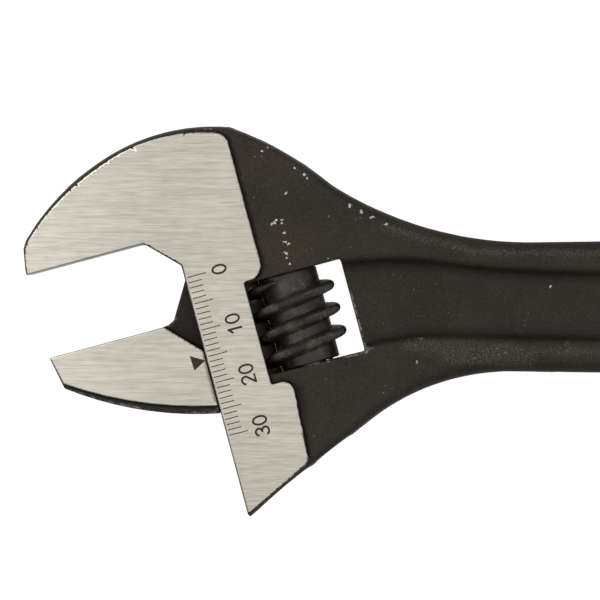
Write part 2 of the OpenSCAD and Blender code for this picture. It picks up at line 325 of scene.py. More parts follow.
def bodyField(x, y, z):
    s = bodySize
    edge, panelEdge, ground = bodyOutlines(s)
    px, py = toHandle(x, y)
    height = np.abs(z)
    thins = smoothStep(px, s["thinsFrom"], s["thinsTo"])
    upper = s["forgingHeight"] + (s["rimHeight"] - s["forgingHeight"]) * thins
    floor = s["panelNear"] + (s["panelFar"] - s["panelNear"]) * thins
    rimRadius = 0.7 + 2.2 * smoothStep(px, 14, 52)

    sides = outlineDistance(px, py, edge) + s["draft"] * height + 0.005
    waves = forgedWaves(px, py, z)
    body = both(sides, height + waves - upper, rimRadius)
    panelSides = outlineDistance(px, py, panelEdge) + 0.25 * (upper - height)
    panel = both(panelSides, floor - waves - height, 1.5)
    body = without(body, panel, 1.1)
    ragged = (0.05 * np.sin(1.1 * y + 0.9 * x) + 0.03 * np.sin(3.7 * y - 1.7 * x + 2)) * smoothStep(x, 6, 12)
    pad = groundPad(outlineDistance(x, y, ground) + ragged, height, s["groundHeight"], s["forgingHeight"])
    body = either(body, pad, 0.35)

    mouth = outlineDistance(x, y, np.array([(-80, 0), (-80, -80), (0, -80), (0, -5.7), (-5.7, 0)], float))
    body = without(body, mouth, s["mouthBreak"])
    near, boreX = s["slotNear"], s["boreX"]
    slot = outlineDistance(x, y, np.array(
        [(near, -80), (boreX, -80), (boreX, 8.6), (-0.1, 8.6), (-4.3, 1.3), (near, 0.1)], float))
    body = without(body, np.maximum(slot, height - s["slotHalf"]), s["edgeBreak"])
    bore = np.maximum(np.hypot(x - boreX, z) - s["boreRadius"], y - s["boreTop"])
    body = without(body, bore, s["edgeBreak"])
    foot = s["windowBottom"] - s["windowSlope"] * (x - s["windowNear"])
    beside = np.maximum(s["windowNear"] - x, x - s["windowFar"])
    window = np.maximum(beside, np.maximum(foot - y, y - s["windowTop"]))
    body = without(body, window + 0 * z, s["edgeBreak"])
    fromPin = np.hypot(x - wormPlace["x"], z)
    alongPin = np.maximum(y - s["pinBoreTop"], s["pinBoreBottom"] - y)
    body = np.maximum(body, -np.maximum(fromPin - s["pinBore"], alongPin))
    body = without(body, np.maximum(fromPin - s["tapped"], y - s["tappedTop"]), 0.3)
    hang = np.hypot(px - s["endX"], py - s["handleMiddle"]) - s["hangHole"]
    return without(body, hang + 0 * z, 0.9)


def makeBody():
    s = bodySize
    step = s["detail"]
    head = span(*s["headReach"], step)
    widening = head[-1] + np.cumsum(np.linspace(step, s["handleDetail"], 12))
    handle = np.arange(widening[-1] + s["handleDetail"], s["handleReach"], s["handleDetail"])
    along = np.concatenate([head, widening, handle])
    axes = (along, span(*s["acrossReach"], step), span(*s["heightReach"], step))
    mesh = meshFromField("forged_body", bodyField, axes, 0.01)
    return toPiece("forged_body", mesh, "frame", "body")


jawSize = {
    "opening": 15.85,         # from the fixed jaw's face to the sliding jaw's
    "groundHeight": 7.98,
    "cheekHeight": 7.3,
    "webHeight": 3.0,
    "sideGap": 0.15,          # between the jaw and the scale edge
    "railRadius": 5.55, "railX": 7.3, "railTop": -8.0, "railBottom": -37.9,
    "firstGroove": -9.575, "groovePitch": 4.35, "grooves": 7,
    "grooveBottom": 10.35, "grooveHalf": 0.85, "grooveSlope": 0.2,
    "edgeBreak": 0.25,
    "detail": 0.22,
    "reach": ((-28, 13), (-38, -7.8), (-8, 8)),   # the mesh's limits along x, y and z
}


def jawOutlines():
    # edge and ground run past the jaw's flat sides, which planes then cuts
    side = -jawSize["sideGap"]
    edge = outline([
        (-27.8, 0, 0),
        (-26.75, -6.2, 1.65),
        (side, -18.1, 0),
        (5, -18.1, 0),
        (5, 5, 0),
        (-27.8, 5, 0),
    ])
    ground = outline([
        (-27.65, 0, 0),
        (-26.45, -5.2, 1.4),
        (side, -16.4, 0),
        (5, -16.4, 0),
        (5, 5, 0),
        (-27.65, 5, 0),
    ])
    planes = outline([(-40, -40, 0), (side, -40, 0), (side, -6, 0), (-6, 0, 0), (-40, 0, 0)])
    web = outline([
        (-9, -14.5, 0.2),
        (-0.9, -17.5, 0),
        (7.3, -17.5, 0),
        (7.3, 7.55, 0),
        (0, 7.55, 0),
        (-4, 0.85, -0.1),
        (-6, 0, 0),
        (-9, -0.3, 0),
    ])
    return edge, ground, planes, web


def jawField(x, y, z):
    s = jawSize
    edge, ground, planes, web = jawOutlines()
    height = np.abs(z)
    fromFace = y + s["opening"]
    skin = height + forgedWaves(x, fromFace, z) - s["cheekHeight"]
    cheeks = both(outlineDistance(x, fromFace, edge) + 0.02 * height, skin, 0.6)
    pad = groundPad(outlineDistance(x, fromFace, ground), height, s["groundHeight"], s["cheekHeight"])
    jaw = either(cheeks, pad, 0.3)
    jaw = both(jaw, outlineDistance(x, fromFace, planes) + 0 * z, 0.12)
    plate = both(outlineDistance(x, fromFace, web) + 0 * z, height - s["webHeight"], s["edgeBreak"])
    jaw = either(jaw, plate, 0.3)
    along = np.maximum(y - s["railTop"], s["railBottom"] - y)
    rail = both(np.hypot(x - s["railX"], z) - s["railRadius"], along + 0 * z, 0.5)
    jaw = either(jaw, rail, 0.4)
    tilt = s["groovePitch"] / (2 * math.pi * 7)
    for i in range(s["grooves"]):
        across = np.abs(y - (s["firstGroove"] - i * s["groovePitch"]) + tilt * z)
        walls = across - s["grooveHalf"] - s["grooveSlope"] * (x - s["grooveBottom"])
        jaw = without(jaw, both(walls, s["grooveBottom"] - x, 0.3), 0.2)
    return jaw


def makeJaw():
    step = jawSize["detail"]
    axes = [span(low, high, step) for low, high in jawSize["reach"]]
    mesh = meshFromField("sliding_jaw", jawField, axes, 0.01)
    return toPiece("sliding_jaw", mesh, "jaw", "moving_jaw")


wormSize = {
    "pitch": 4.35, "mark": -16.1, "firstTurn": -2.74, "lastTurn": 0.735,
    "fade": 0.2,              # turns over which the thread grows and fades
    "serrations": 104,        # knurling ridges in one turn
    "knurlDepth": 0.16,
    "core": 5.5, "bore": 2.95, "pocket": 4.6, "pocketDepth": 5.5,
    "top": -12.04, "bottom": -29.3,
    "chamfer": 0.2,
    "stepsPerRidge": 4,
}
pinSize = {
    "bottom": -43.4, "headTop": -36.0, "shaftTop": -5.2, "tip": -4.5,
    "head": 3.5, "shaft": 2.9, "slotWidth": 1.0, "slotDepth": 1.2, "sides": 96,
}
springSize = {
    "radius": 3.95, "wire": 0.35, "coils": 6, "pitch": 0.8, "start": -29.21,
    "stepsPerCoil": 48, "sides": 14,
}


def onWormAxis(radius, angle, along):
    return (wormPlace["x"] + radius * math.cos(angle), along, -radius * math.sin(angle))


def sweptMesh(name, rings, closedEnds=True):
    # a tube through equal rings of points, capped at both ends or joined round
    form = bmesh.new()
    rows = [[form.verts.new(p) for p in ring] for ring in rings]
    pairs = list(zip(rows, rows[1:])) + ([] if closedEnds else [(rows[-1], rows[0])])
    for near, far in pairs:
        for j in range(len(near)):
            k = (j + 1) % len(near)
            form.faces.new((near[j], near[k], far[k], far[j]))
    if closedEnds:
        form.faces.new(rows[0])
        form.faces.new(rows[-1][::-1])
    bmesh.ops.recalc_face_normals(form, faces=form.faces)
    mesh = bpy.data.meshes.new(name)
    form.to_mesh(mesh)
    form.free()
    mesh.shade_smooth()
    return mesh


def lathe(name, profile, sides=128):
    # a closed profile of (radius, place along the worm's axis) turned all the way round
    rings = [[onWormAxis(r, 2 * math.pi * i / sides, y) for r, y in profile] for i in range(sides)]
    return sweptMesh(name, rings, closedEnds=False)


def lathedSolid(name, profile, sides=96):
    # the same for a profile that starts and ends on the axis
    rings = [[onWormAxis(r, 2 * math.pi * i / sides, y) for i in range(sides)] for r, y in profile]
    return sweptMesh(name, rings)


def combined(name, meshes, operation):
    # joins or cuts closed meshes into one closed mesh
    helpers = [bpy.data.objects.new(f"{name}_{i}", m) for i, m in enumerate(meshes)]
    for helper in helpers:
        bpy.context.scene.collection.objects.link(helper)
    for other in helpers[1:]:
        cut = helpers[0].modifiers.new("join", "BOOLEAN")
        cut.operation = operation
        cut.object = other
        cut.solver = "MANIFOLD"
    bpy.context.view_layer.update()
    ready = helpers[0].evaluated_get(bpy.context.evaluated_depsgraph_get())
    mesh = bpy.data.meshes.new_from_object(ready)
    mesh.name = name
    for helper in helpers:
        bpy.data.objects.remove(helper)
    return mesh


def threadSize(turn, s):
    grown = smoothStep(turn, s["firstTurn"], s["firstTurn"] + s["fade"])
    faded = 1 - smoothStep(turn, s["lastTurn"] - s["fade"], s["lastTurn"])
    return 0.08 + 0.92 * grown * faded


def threadMesh(s):
    # half of the thread's section, from root to crest: radius and distance from its middle
    half = [(5.0, 1.4), (5.55, 1.34), (5.85, 1.13), (6.4, 1.0), (6.9, 0.93), (7.3, 0.84),
            (7.62, 0.69), (7.84, 0.48), (7.96, 0.24)]
    section = half + [(8.0, 0.0)] + [(r, -w) for r, w in half[::-1]]
    count = round((s["lastTurn"] - s["firstTurn"]) * s["serrations"] * s["stepsPerRidge"])
    rings = []
    for i in range(count + 1):
        turn = s["firstTurn"] + (s["lastTurn"] - s["firstTurn"]) * i / count
        size = threadSize(turn, s)
        angle = 2 * math.pi * turn
        dip = s["knurlDepth"] * (0.5 - 0.5 * math.cos(s["serrations"] * angle))
        ring = []
        for r, w in section:
            onCrest = smoothStep(r, 7.2, 7.7)
            radius = 5 + (r - 5 - dip * onCrest) * size
            ring.append(onWormAxis(radius, angle, s["mark"] + turn * s["pitch"] + w * size))
        rings.append(ring)
    return sweptMesh("thread", rings)


def makeWorm():
    s = wormSize
    c = s["chamfer"]
    core = lathe("core", [
        (s["bore"], s["top"] - c), (s["bore"] + c, s["top"]),
        (s["core"] - c, s["top"]), (s["core"] - 0.1, s["top"] - 0.1), (s["core"], s["top"] - c),
        (s["core"], s["bottom"] + c), (s["core"] - 0.1, s["bottom"] + 0.1), (s["core"] - c, s["bottom"]),
        (s["pocket"], s["bottom"]), (s["pocket"], s["bottom"] + s["pocketDepth"]),
        (s["bore"], s["bottom"] + s["pocketDepth"]),
    ])
    mesh = combined("worm_thread", [core, threadMesh(s)], "UNION")
    mesh.transform(headToFrame)
    mesh.set_sharp_from_angle(angle=math.radians(40))
    return toPiece("knurled_worm", mesh, "worm", "worm")


def makePin():
    s = pinSize
    low, top = s["bottom"], s["headTop"]
    shank = lathedSolid("shank", [
        (s["head"] - 0.35, low), (s["head"] - 0.1, low + 0.1), (s["head"], low + 0.35),
        (s["head"], top - 0.25), (s["head"] - 0.25, top), (s["shaft"] + 0.15, top), (s["shaft"], top + 0.15),
        (s["shaft"], s["shaftTop"]), (s["shaft"] - 0.6, s["tip"]),
    ], s["sides"])
    slot = bpy.data.meshes.new("slot")
    form = bmesh.new()
    bmesh.ops.create_cube(form, size=1)
    bmesh.ops.scale(form, vec=(3 * s["head"], 2 * s["slotDepth"], s["slotWidth"]), verts=form.verts)
    bmesh.ops.translate(form, vec=(wormPlace["x"], low, 0), verts=form.verts)
    form.to_mesh(slot)
    form.free()
    mesh = combined("pin", [shank, slot], "DIFFERENCE")
    mesh.transform(headToFrame)
    mesh.set_sharp_from_angle(angle=math.radians(35))
    return toPiece("slotted_pin", mesh, "frame", "worm_pin")


def makeSpring():
    s = springSize
    rings = []
    steps = s["coils"] * s["stepsPerCoil"]
    for i in range(steps + 1):
        angle = 2 * math.pi * i / s["stepsPerCoil"]
        along = s["start"] + s["pitch"] * i / s["stepsPerCoil"]
        ring = []
        for j in range(s["sides"]):
            around = 2 * math.pi * j / s["sides"]
            out, up = s["wire"] * math.cos(around), s["wire"] * math.sin(around)
            ring.append(onWormAxis(s["radius"] + out, angle, along + up))
        rings.append(ring)
    mesh = sweptMesh("spring", rings)
    mesh.transform(headToFrame)
    mesh.set_sharp_from_angle(angle=math.radians(50))
    return toPiece("coiled_spring", mesh, "frame", "worm_spring")


markSize = {
    "top": 7.995, "sunk": 7.9,
    "scaleZero": -8.13, "reading": 30, "lineWidth": 0.17,
    "lineStart": 0.5, "shortEnd": 3.0, "longEnd": 4.05,
    "digitTop": 5.31, "digitBase": 7.81, "digitWidth": 1.5, "digitGap": 0.55,
    "slips": {0: 0.0, 10: -0.44, 20: 0.0, 30: 0.23},   # how far each number sits off its line
    "stroke": 0.21,           # half the width of a digit's stroke
    "arrow": ((-2.78, -22.15), (-2.65, -24.98), (-0.22, -23.7)),
    "detail": 0.07,
}


def addBlock(form, low, high):
    made = bmesh.ops.create_cube(form, size=1)["verts"]
    size = [b - a for a, b in zip(low, high)]
    bmesh.ops.scale(form, vec=size, verts=made)
    bmesh.ops.translate(form, vec=[(a + b) / 2 for a, b in zip(low, high)], verts=made)


def makeScaleLines():
    s = markSize
    form = bmesh.new()
    half = s["lineWidth"] / 2
    for reading in range(s["reading"] + 1):
        end = s["longEnd"] if reading % 5 == 0 else s["shortEnd"]
        y = s["scaleZero"] - reading
        addBlock(form, (s["lineStart"], y - half, s["sunk"]), (end, y + half, s["top"]))
    mesh = bpy.data.meshes.new("scale_lines")
    form.to_mesh(mesh)
    form.free()
    mesh.transform(headToFrame)
    return toPiece("scale_lines", mesh, "frame", None)


def arcPath(centre, radii, fromAngle, toAngle, count=14):
    angles = np.radians(np.linspace(fromAngle, toAngle, count))
    return [(centre[0] + radii[0] * math.cos(a), centre[1] + radii[1] * math.sin(a)) for a in angles]


def digitStrokes(digit):
    # strokes of a digit in a box 1 wide and 1 high
    if digit == "0":
        return [arcPath((0.5, 0.5), (0.5, 0.5), 0, 360, 40)]
    if digit == "1":
        return [[(0.2, 0.72), (0.62, 1.0), (0.62, 0.0)]]
    if digit == "2":
        return [arcPath((0.5, 0.72), (0.46, 0.28), 165, -35) + [(0.06, 0.0), (0.98, 0.0)]]
    return [arcPath((0.48, 0.755), (0.42, 0.245), 160, -90), arcPath((0.48, 0.255), (0.48, 0.255), 90, -160)]


def pathDistance(x, y, path):
    nearest = np.full(np.broadcast(x, y).shape, 1e9)
    for (ax, ay), (bx, by) in zip(path, path[1:]):
        ex, ey = bx - ax, by - ay
        along = np.clip(((x - ax) * ex + (y - ay) * ey) / (ex * ex + ey * ey + 1e-12), 0, 1)
        nearest = np.minimum(nearest, np.hypot(x - ax - along * ex, y - ay - along * ey))
    return nearest


def makeNumber(reading):
    # the digits stand with their tops towards the scale edge and read upwards
    s = markSize
    text = str(reading)
    pitch = s["digitWidth"] + s["digitGap"]
    length = pitch * len(text) - s["digitGap"]
    start = s["scaleZero"] - reading - length / 2 + s["slips"][reading]
    tall = s["digitBase"] - s["digitTop"]
    paths = []
    for place, digit in enumerate(text):
        for stroke in digitStrokes(digit):
            left = start + place * pitch
            paths.append([(s["digitBase"] - v * tall, left + u * s["digitWidth"]) for u, v in stroke])

    def field(x, y, z):
        flat = np.minimum.reduce([pathDistance(x, y, path) for path in paths]) - s["stroke"]
        return np.maximum(flat, np.maximum(z - s["top"], s["sunk"] - z))

    step = s["detail"]
    axes = (
        span(s["digitTop"] - 0.3, s["digitBase"] + 0.3, step),
        span(start - 0.3, start + length + 0.3, step),
        span(s["sunk"], s["top"], 0.035),
    )
    return meshFromField("number", field, axes, 0.02)


def makeNumbers():
    for reading in markSize["slips"]:
        toPiece(f"scale_{reading}", makeNumber(reading), "frame", None)


def makeArrow():
    rings = [[(x, y, z) for x, y in markSize["arrow"]] for z in (markSize["sunk"], markSize["top"])]
    mesh = sweptMesh("arrow", rings)
    mesh.transform(headToFrame)
    mesh.shade_flat()
    return toPiece("jaw_arrow", mesh, "jaw", None)


def newGroup(name, inputs, outputs):
    group = bpy.data.node_groups.new(name, "ShaderNodeTree")
    for label, default in inputs.items():
        socket = group.interface.new_socket(label, in_out="INPUT", socket_type="NodeSocketFloat")
        socket.default_value = default
    for label in outputs:
        group.interface.new_socket(label, in_out="OUTPUT", socket_type="NodeSocketFloat")
    return group, group.nodes.new("NodeGroupInput"), group.nodes.new("NodeGroupOutput")


def addNode(tree, kind, values=None, **settings):
    node = tree.nodes.new(kind)
    for key, value in settings.items():
        setattr(node, key, value)
    for key, value in (values or {}).items():
        if isinstance(value, bpy.types.NodeSocket):
            tree.links.new(value, node.inputs[key])
        else:
            node.inputs[key].default_value = value
    return node


def calc(tree, operation, a, b=None, clamp=False):
    values = {0: a} if b is None else {0: a, 1: b}
    return addNode(tree, "ShaderNodeMath", values, operation=operation, use_clamp=clamp).outputs[0]


def vectorMath(tree, operation, values, result):
    return addNode(tree, "ShaderNodeVectorMath", values, operation=operation).outputs[result]


def rangeOf(tree, value, low, high, toLow=0.0, toHigh=1.0):
    # toHigh may also be a socket
    values = {"Value": value, "From Min": low, "From Max": high, "To Min": toLow, "To Max": toHigh}
    return addNode(tree, "ShaderNodeMapRange", values).outputs["Result"]


def noise(tree, place, scale, detail=3.0, rough=0.55):
    values = {"Vector": place, "Scale": scale, "Detail": detail, "Roughness": rough}
    return addNode(tree, "ShaderNodeTexNoise", values).outputs["Fac"]


def grainGroup():
    # sandy mottling of forged or blackened steel; scales are per metre
    inputs = {"Grain Scale": 2200.0, "Blotch Scale": 120.0}
    group, given, result = newGroup("forgedGrain", inputs, ["Tone", "Height"])
    place = addNode(group, "ShaderNodeTexCoord").outputs["Object"]
    fine = noise(group, place, given.outputs["Grain Scale"], 4.0, 0.6)
    blotch = noise(group, place, given.outputs["Blotch Scale"], 3.0, 0.5)
    tone = calc(group, "ADD", calc(group, "MULTIPLY", fine, 0.65), calc(group, "MULTIPLY", blotch, 0.35))
    group.links.new(tone, result.inputs["Tone"])
    pits = addNode(group, "ShaderNodeTexVoronoi", {"Vector": place, "Scale": 1500.0}).outputs["Distance"]
    group.links.new(calc(group, "ADD", fine, calc(group, "MULTIPLY", pits, 0.5)), result.inputs["Height"])
    return group


chips = [
    # places in the handle's axes, in millimetres, where the black finish is chipped: x, y, radius
    (18.4, 2.2, 0.75), (18.9, 2.9, 0.5), (19.9, 2.9, 0.5), (20.0, 2.3, 0.45), (20.4, 0.5, 0.5),
    (20.6, -1.2, 0.55), (21.2, -1.5, 0.5), (20.7, -3.2, 0.6), (20.9, -4.0, 0.4), (21.4, -5.1, 0.45),
    (20.7, 7.8, 0.5), (16.2, 15.6, 0.5), (17.4, 16.2, 0.35), (22.3, 12.5, 0.55), (24.2, 11.2, 0.6),
    (24.6, 10.6, 0.5), (32.6, 5.5, 0.7), (34.6, 4.4, 0.6), (36.6, 3.4, 0.7), (39.2, 2.2, 0.5),
    (69.6, -9.3, 0.4), (45, -23.4, 0.5), (118, -4, 0.9), (150, -22, 1.0), (188, -4.5, 0.9),
    (205, -2, 1.1), (223, -8, 1.0), (221, -20, 1.0),
]


def chipGroup():
    # how near a point is to the middle of a chip, on the upper side only
    group, _, result = newGroup("chips", {}, ["Amount"])
    place = addNode(group, "ShaderNodeTexCoord").outputs["Object"]
    flat = vectorMath(group, "MULTIPLY", {0: place, 1: (1, 1, 0)}, "Vector")
    total = None
    for x, y, radius in chips:
        centre = (headOrigin.x + x / 1000, headOrigin.y + y / 1000, 0)
        away = vectorMath(group, "DISTANCE", {0: flat, 1: centre}, "Value")
        near = rangeOf(group, away, 0.0, radius / 1000, 1.0, 0.0)
        total = calc(group, "MAXIMUM", total, near) if total else near
    z = addNode(group, "ShaderNodeSeparateXYZ", {"Vector": place}).outputs["Z"]
    upper = calc(group, "GREATER_THAN", z, 0.5 * (cadBox[0][2] + cadBox[1][2]))
    group.links.new(calc(group, "MULTIPLY", total, upper), result.inputs["Amount"])
    return group


def wearGroup():
    # broken-up rubbing along outer edges, and loose specks
    inputs = {
        "Reach": 0.5, "Break Scale": 1400.0, "Speck Scale": 2600.0,
        "Specks": 0.0, "Rubbing": 0.13, "Edges": 0.35,
    }
    group, given, result = newGroup("edgeWear", inputs, ["Mask"])
    place = addNode(group, "ShaderNodeTexCoord").outputs["Object"]
    edge = addNode(group, "ShaderNodeAttribute", attribute_name="wear").outputs["Fac"]
    rough = noise(group, place, given.outputs["Break Scale"], 5.0, 0.7)
    patch = noise(group, place, 160.0, 2.0, 0.5)
    worn = calc(group, "MULTIPLY", edge, given.outputs["Reach"])
    worn = calc(group, "ADD", worn, calc(group, "SUBTRACT", calc(group, "ADD", rough, patch), 1.32))
    speck = noise(group, place, given.outputs["Speck Scale"], 2.0, 0.5)
    chip = addNode(group, "ShaderNodeGroup", node_tree=chipGroup()).outputs["Amount"]
    lifted = calc(group, "ADD", speck, calc(group, "MULTIPLY", chip, 0.44))
    loose = calc(group, "MULTIPLY", rangeOf(group, lifted, 0.75, 0.79), given.outputs["Specks"])
    rub = addNode(group, "ShaderNodeAttribute", attribute_name="rub").outputs["Fac"]
    fine = calc(group, "ADD", noise(group, place, 4600.0, 3.0, 0.6), calc(group, "MULTIPLY", rub, 0.14))
    rubbed = calc(group, "MULTIPLY", rangeOf(group, fine, 0.62, 0.76), given.outputs["Rubbing"])
    loose = calc(group, "MAXIMUM", loose, calc(group, "MULTIPLY", rubbed, rub))
    edges = rangeOf(group, worn, 0.0, 0.14, 0.0, given.outputs["Edges"])
    total = calc(group, "MAXIMUM", edges, loose, clamp=True)
    group.links.new(total, result.inputs["Mask"])
    return group


def brushGroup():
    # long fine scratches along X left by a belt grinder
    inputs = {"Along": 170.0, "Across": 3300.0}
    group, given, result = newGroup("brushing", inputs, ["Tone", "Height"])
    place = addNode(group, "ShaderNodeTexCoord").outputs["Object"]
    parts = addNode(group, "ShaderNodeSeparateXYZ", {"Vector": place})
    tones = []
    for along, across in ((1.0, 1.0), (0.4, 0.45), (2.0, 1.9)):
        x = calc(group, "MULTIPLY", parts.outputs["X"], given.outputs["Along"])
        y = calc(group, "MULTIPLY", parts.outputs["Y"], given.outputs["Across"])
        scaledX, scaledY = calc(group, "MULTIPLY", x, along), calc(group, "MULTIPLY", y, across)
        values = {"X": scaledX, "Y": scaledY, "Z": parts.outputs["Z"]}
        stretched = addNode(group, "ShaderNodeCombineXYZ", values).outputs["Vector"]
        tones.append(noise(group, stretched, 1.0, 2.0, 0.6))
    tone = calc(group, "ADD", calc(group, "ADD", tones[0], tones[1]), tones[2])
    tone = calc(group, "MULTIPLY", tone, 1 / 3)
    group.links.new(tone, result.inputs["Tone"])
    group.links.new(tones[2], result.inputs["Height"])
    return group


groups = {"grain": grainGroup(), "wear": wearGroup(), "brush": brushGroup()}
print("node groups made", flush=True)


def newMaterial(name):
    material = bpy.data.materials.new(name)
    material.use_nodes = True
    return material, material.node_tree, material.node_tree.nodes["Principled BSDF"]


def useGroup(tree, name, **values):
    node = tree.nodes.new("ShaderNodeGroup")
    node.node_tree = groups[name]
    for label, value in values.items():
        node.inputs[label.replace("_", " ")].default_value = value
    return node


def blend(tree, mask, a, b):
    # a colour or value mix; a and b are tuples, numbers or sockets
    isColour = any(isinstance(v, tuple) or getattr(v, "type", "") == "RGBA" for v in (a, b))
    kind = "RGBA" if isColour else "FLOAT"
    mix = tree.nodes.new("ShaderNodeMix")
    mix.data_type = kind
    slots = {"RGBA": (6, 7, 2), "FLOAT": (2, 3, 0)}[kind]
    for index, value in ((0, mask), (slots[0], a), (slots[1], b)):
        if isinstance(value, bpy.types.NodeSocket):
            tree.links.new(value, mix.inputs[index])
        elif isinstance(value, tuple):
            mix.inputs[index].default_value = (*value, 1)
        else:
            mix.inputs[index].default_value = value
    return mix.outputs[slots[2]]


blackLook = {
    "dark": (0.012, 0.009, 0.005), "light": (0.03, 0.0245, 0.0145),
    "creaseShade": (0.004, 0.003, 0.002),   # painted shade in the inner corners
    "worn": (0.52, 0.5, 0.44),
    "sunkShade": 0.95, "flankLight": 1.25,   # painted shade and light: the sunk panel is painted darker, the head's flanks lighter
    "rough": 0.52, "roughWorn": 0.42, "specular": 0.22,
    "edgeReach": 0.3, "grainDepth": 0.00003,
}
steelLook = {
    "dark": (0.455, 0.43, 0.365), "light": (0.635, 0.605, 0.525),
    "paleAt": -22.0, "tipLight": 0.19,    # painted light: the ground faces are painted brighter towards the jaws' tips
    "dullAt": -46.0, "footShade": 0.09,   # and painted shade makes them duller at the foot of the scale
    "patchy": 0.12,
    "rough": 0.34, "bumpDepth": 0.000005,
    "groundFrom": 0.00785,     # height over mid thickness from which the forging is ground, in metres
}
wormLook = {
    "dark": (0.007, 0.0055, 0.0035), "light": (0.032, 0.027, 0.019),
    "patch": (0.07, 0.058, 0.042),       # smudges where the blacking has thinned
    "worn": (0.24, 0.22, 0.18), "rough": 0.4, "specular": 0.5,
}


pinLook = {"dark": (0.36, 0.35, 0.33), "light": (0.52, 0.51, 0.48), "rough": 0.32}
# near black like blackened steel, and darker than the pin as painted shade for the gap below the worm
shadedSpringLook = {"dark": (0.018, 0.016, 0.013), "light": (0.05, 0.046, 0.04), "rough": 0.3}
inkLook = {"dark": (0.014, 0.011, 0.007), "light": (0.05, 0.04, 0.028), "specular": 0.25}


def scaled(tree, colour, factor):
    return vectorMath(tree, "SCALE", {0: colour, "Scale": factor}, "Vector")


def fromPlane(tree, place, axis, distance):
    # how far a point lies along an axis of the head beyond a plane given in millimetres
    along = vectorMath(tree, "DOT_PRODUCT", {0: place, 1: tuple(axis)}, "Value")
    return calc(tree, "SUBTRACT", along, axis.dot(headOrigin) + 0.001 * distance)


def forgedMaterial(name, specks, facePlane, faceEnd):
    # blackened forging whose gripping face and faces at full thickness are ground bright
    black, steel = blackLook, steelLook
    groundFrom = steel["groundFrom"]
    material, tree, shader = newMaterial(name)
    place = addNode(tree, "ShaderNodeTexCoord").outputs["Object"]
    z = addNode(tree, "ShaderNodeSeparateXYZ", {"Vector": place}).outputs["Z"]
    middle = 0.5 * (cadBox[0][2] + cadBox[1][2])
    fromMiddle = calc(tree, "ABSOLUTE", calc(tree, "SUBTRACT", z, middle))
    top = rangeOf(tree, fromMiddle, groundFrom - 0.00002, groundFrom + 0.00002)
    offFace = calc(tree, "ABSOLUTE", fromPlane(tree, place, headY, facePlane))
    face = calc(tree, "LESS_THAN", offFace, 0.0003)
    outside = calc(tree, "LESS_THAN", fromPlane(tree, place, headX, faceEnd), 0.0)
    ground = calc(tree, "MAXIMUM", top, calc(tree, "MULTIPLY", face, outside))
    grain = useGroup(tree, "grain")
    wear = useGroup(tree, "wear", Reach=black["edgeReach"], Specks=specks)
    brush = useGroup(tree, "brush")
    tone = rangeOf(tree, grain.outputs["Tone"], 0.36, 0.64)
    blackened = blend(tree, tone, black["dark"], black["light"])
    # painted shade by height: lower surfaces darker, the flanks at full thickness lighter
    heightShade = rangeOf(tree, fromMiddle, 0.003, 0.0073, black["sunkShade"], black["flankLight"])
    blackened = scaled(tree, blackened, heightShade)
    blackened = blend(tree, wear.outputs["Mask"], blackened, black["worn"])
    # painted shade darkens the inner corners
    creaseShade = addNode(tree, "ShaderNodeAttribute", attribute_name="creaseShade").outputs["Fac"]
    blackened = blend(tree, creaseShade, blackened, black["creaseShade"])
    streaks = rangeOf(tree, brush.outputs["Tone"], 0.4, 0.6)
    bright = blend(tree, streaks, steel["dark"], steel["light"])
    # painted light towards the jaws' tips and painted shade at the foot of the scale, plus random patches
    tipLit = rangeOf(tree, fromPlane(tree, place, alongHandle, steel["paleAt"]), 0.02, 0.0)
    footShaded = rangeOf(tree, fromPlane(tree, place, acrossHandle, steel["dullAt"]), 0.014, 0.0)
    shade = calc(tree, "SUBTRACT", calc(tree, "MULTIPLY", tipLit, steel["tipLight"]),
                 calc(tree, "MULTIPLY", footShaded, steel["footShade"]))
    patches = calc(tree, "SUBTRACT", noise(tree, place, 60.0, 2.0, 0.5), 0.5)
    shade = calc(tree, "ADD", shade, calc(tree, "MULTIPLY", patches, steel["patchy"]))
    bright = scaled(tree, bright, calc(tree, "ADD", shade, 1.0))
    colour = blend(tree, ground, blackened, bright)
    tree.links.new(colour, shader.inputs["Base Color"])
    metal = calc(tree, "MAXIMUM", ground, wear.outputs["Mask"])
    tree.links.new(metal, shader.inputs["Metallic"])
    darkRough = blend(tree, wear.outputs["Mask"], black["rough"], black["roughWorn"])
    tree.links.new(blend(tree, ground, darkRough, steel["rough"]), shader.inputs["Roughness"])
    shader.inputs["Specular IOR Level"].default_value = black["specular"]
    grainHeight = calc(tree, "MULTIPLY", grain.outputs["Height"], black["grainDepth"])
    brushHeight = calc(tree, "MULTIPLY", brush.outputs["Height"], steel["bumpDepth"])
    height = blend(tree, ground, grainHeight, brushHeight)
    bump = addNode(tree, "ShaderNodeBump", {"Height": height, "Distance": 1.0, "Strength": 1.0})
    tree.links.new(bump.outputs["Normal"], shader.inputs["Normal"])
    return material


